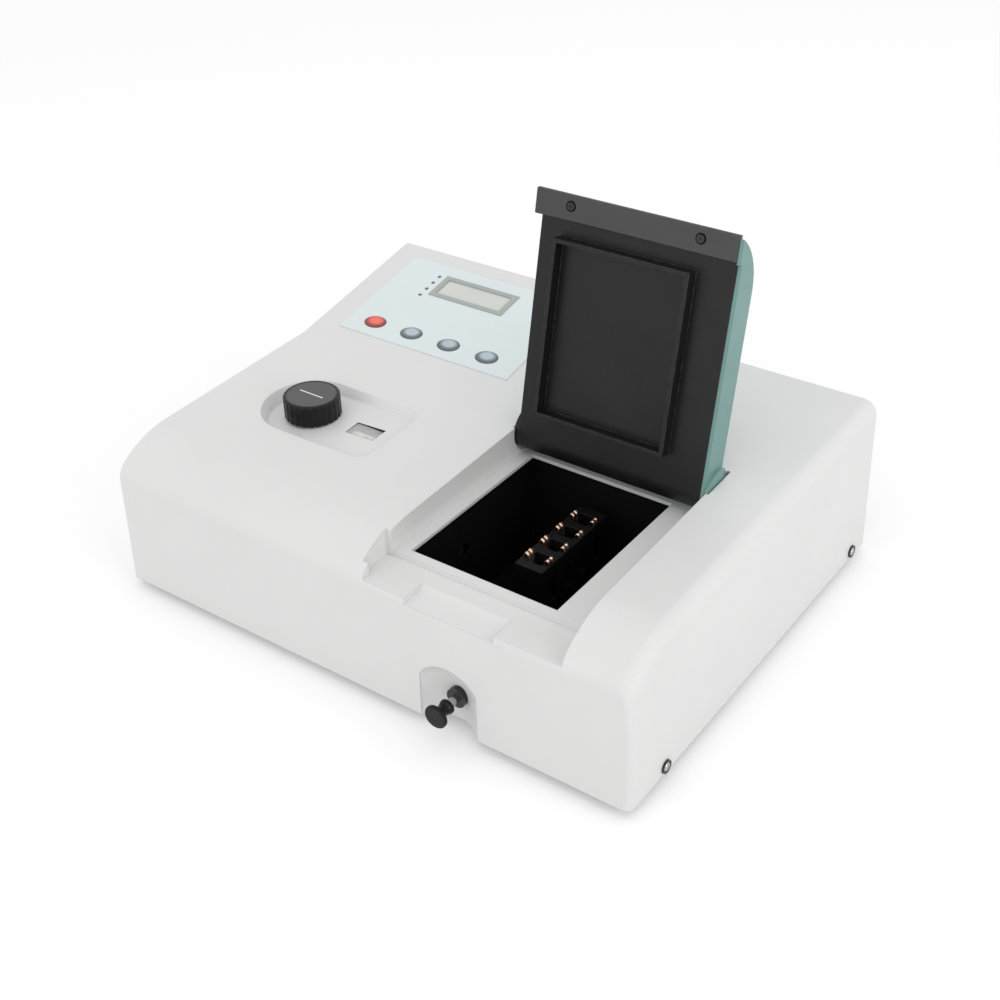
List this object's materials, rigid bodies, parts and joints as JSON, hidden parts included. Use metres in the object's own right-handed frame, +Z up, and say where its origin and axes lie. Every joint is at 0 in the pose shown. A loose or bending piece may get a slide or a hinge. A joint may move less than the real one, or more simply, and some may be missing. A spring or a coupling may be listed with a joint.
{
  "type": "uv-vis spectrophotometer",
  "caption": "Bench spectrophotometer with a moulded cover, hinged chamber lid, sliding cell rack, wavelength knob with counter, keypad and display.",
  "frame": {"origin": "middle of the whole instrument's footprint, at the level that the feet stand on", "axes": "+X to the right along the width, +Y towards the rear, +Z up"},
  "size_m": [0.4746, 0.387, 0.3184],
  "materials": {
    "housing_white": "fine satin",
    "zinc_steel": "zinc plated",
    "black_rubber": "matt",
    "black_plastic": "satin",
    "bright_steel": "polished",
    "grey_paint": "satin",
    "overlay_film": "printed film",
    "display_grey": "satin",
    "display_glass": "smooth",
    "lamp_lens": "smooth",
    "board_green": "solder mask",
    "lid_teal": "satin",
    "liner_black": "satin",
    "chamber_black": "matt black",
    "black_anodised": "anodised black",
    "spring_copper": "bright copper",
    "knob_disc": "turned, dark",
    "drum_white": "satin",
    "cast_aluminium": "cast",
    "clear_pane": "clear",
    "drive_brass": "machined",
    "mirror_face": "polished",
    "ceramic": "ceramic",
    "lamp_glass": "clear",
    "core_steel": "varnished laminations",
    "key_red": "satin",
    "key_grey": "satin"
  },
  "bodies": {
    "housing": {"top_cover": "housing_white", "base_plate": "zinc_steel", "rubber_feet": "black_rubber", "cover_washers": "black_plastic", "cover_screws": "bright_steel", "rear_panel": "grey_paint", "power_inlet": "black_plastic", "switch_housing": "black_plastic", "data_port": "bright_steel", "fan_frame": "black_plastic", "keypad_overlay": "overlay_film", "lcd_bezel": "display_grey", "lcd_glass": "display_glass", "status_lamps": "lamp_lens", "key_board": "board_green", "hinge_pins": "bright_steel", "rod_bush": "bright_steel", "chamber_liner": "chamber_black", "guide_rods": "bright_steel", "detent_spring": "spring_copper", "detector_housing": "black_anodised", "photodiode": "bright_steel", "counter_frame": "cast_aluminium", "counter_window": "clear_pane", "optical_bench": "cast_aluminium", "slit_plates": "black_anodised", "bench_mirrors": "mirror_face", "mirror_mounts": "cast_aluminium", "lamp_house": "cast_aluminium", "lamp_socket": "ceramic", "halogen_lamp": "lamp_glass", "condenser_lens": "lamp_glass", "main_board": "board_green", "transformer": "core_steel"},
    "lid": {"lid_shell": "lid_teal", "lid_liner": "liner_black", "lid_lip": "liner_black", "lid_screws": "bright_steel"},
    "sample_slide": {"cell_carriage": "black_anodised", "cell_rack": "black_anodised", "cell_springs": "spring_copper", "pull_rod": "bright_steel", "rod_knob": "black_plastic"},
    "wavelength_dial": {"wavelength_knob": "black_plastic", "knob_cap": "knob_disc", "knob_shaft": "bright_steel"},
    "cross_drive": {"cross_shaft": "bright_steel", "fine_drum": "drum_white"},
    "hundreds_counter": {"hundreds_drum": "drum_white"},
    "lead_nut": {"screw_nut": "drive_brass"},
    "grating_turntable": {"grating_table": "cast_aluminium", "grating": "mirror_face"},
    "mains_rocker": {"power_rocker": "black_plastic"},
    "fuse_tray": {"fuse_drawer": "black_plastic"},
    "cooling_fan": {"fan_rotor": "black_plastic"},
    "mode_key_cap": {"mode_key": "key_red"},
    "zero_key_cap": {"zero_key": "key_grey"},
    "full_scale_key_cap": {"full_scale_key": "key_grey"},
    "print_key_cap": {"print_key": "key_grey"}
  },
  "joints": [
    {"name": "lid_hinge", "type": "hinge", "parent": "housing", "child": "lid", "pos_m": [0.096, 0.0293, 0.1284], "axis": [1, 0, 0], "range_deg": [0, 101.8]},
    {"name": "sample_pull", "type": "slide", "parent": "housing", "child": "sample_slide", "axis": [0, -1, 0], "range_m": [0, 0.06]},
    {"name": "wavelength_turn", "type": "hinge", "parent": "housing", "child": "wavelength_dial", "pos_m": [-0.141, -0.0465, 0.1125], "axis": [0, 0, 1], "range_deg": [-1170, 1260]},
    {"name": "cross_turn", "type": "hinge", "parent": "housing", "child": "cross_drive", "pos_m": [-0.141, -0.0465, 0.1125], "axis": [1, 0, 0], "range_deg": [-1261, 1171]},
    {"name": "hundreds_turn", "type": "hinge", "parent": "housing", "child": "hundreds_counter", "pos_m": [-0.087, -0.0465, 0.1125], "axis": [1, 0, 0], "range_deg": [-127, 118]},
    {"name": "nut_travel", "type": "slide", "parent": "housing", "child": "lead_nut", "axis": [1, 0, 0], "range_m": [-0.0082, 0.0088]},
    {"name": "grating_turn", "type": "hinge", "parent": "housing", "child": "grating_turntable", "pos_m": [-0.042, -0.0985, 0.068], "axis": [0, 0, 1], "range_deg": [-12.6, 11.7]},
    {"name": "rocker_tilt", "type": "hinge", "parent": "housing", "child": "mains_rocker", "pos_m": [0.118, 0.187, 0.054], "axis": [1, 0, 0], "range_deg": [0, 11]},
    {"name": "fuse_slide", "type": "slide", "parent": "housing", "child": "fuse_tray", "axis": [0, 1, 0], "range_m": [0, 0.02]},
    {"name": "fan_spin", "type": "hinge", "parent": "housing", "child": "cooling_fan", "pos_m": [-0.11, 0.181, 0.064], "axis": [0, 1, 0], "continuous": true},
    {"name": "mode_key_press", "type": "slide", "parent": "housing", "child": "mode_key_cap", "axis": [0, 0.1942, -0.981], "range_m": [0, 0.0006], "stiffness_N_per_m": 300, "springref_m": -0.001},
    {"name": "zero_key_press", "type": "slide", "parent": "housing", "child": "zero_key_cap", "axis": [0, 0.1942, -0.981], "range_m": [0, 0.0006], "stiffness_N_per_m": 300, "springref_m": -0.001},
    {"name": "full_scale_key_press", "type": "slide", "parent": "housing", "child": "full_scale_key_cap", "axis": [0, 0.1942, -0.981], "range_m": [0, 0.0006], "stiffness_N_per_m": 300, "springref_m": -0.001},
    {"name": "print_key_press", "type": "slide", "parent": "housing", "child": "print_key_cap", "axis": [0, 0.1942, -0.981], "range_m": [0, 0.0006], "stiffness_N_per_m": 300, "springref_m": -0.001}
  ],
  "couplings": [
    {"joint": "cross_turn", "follows": "wavelength_turn", "ratio": -1},
    {"joint": "hundreds_turn", "follows": "wavelength_turn", "ratio": -0.1},
    {"joint": "nut_travel", "follows": "wavelength_turn", "m_per_rad": 0.00039789},
    {"joint": "grating_turn", "follows": "wavelength_turn", "ratio": -0.0099472}
  ]
}
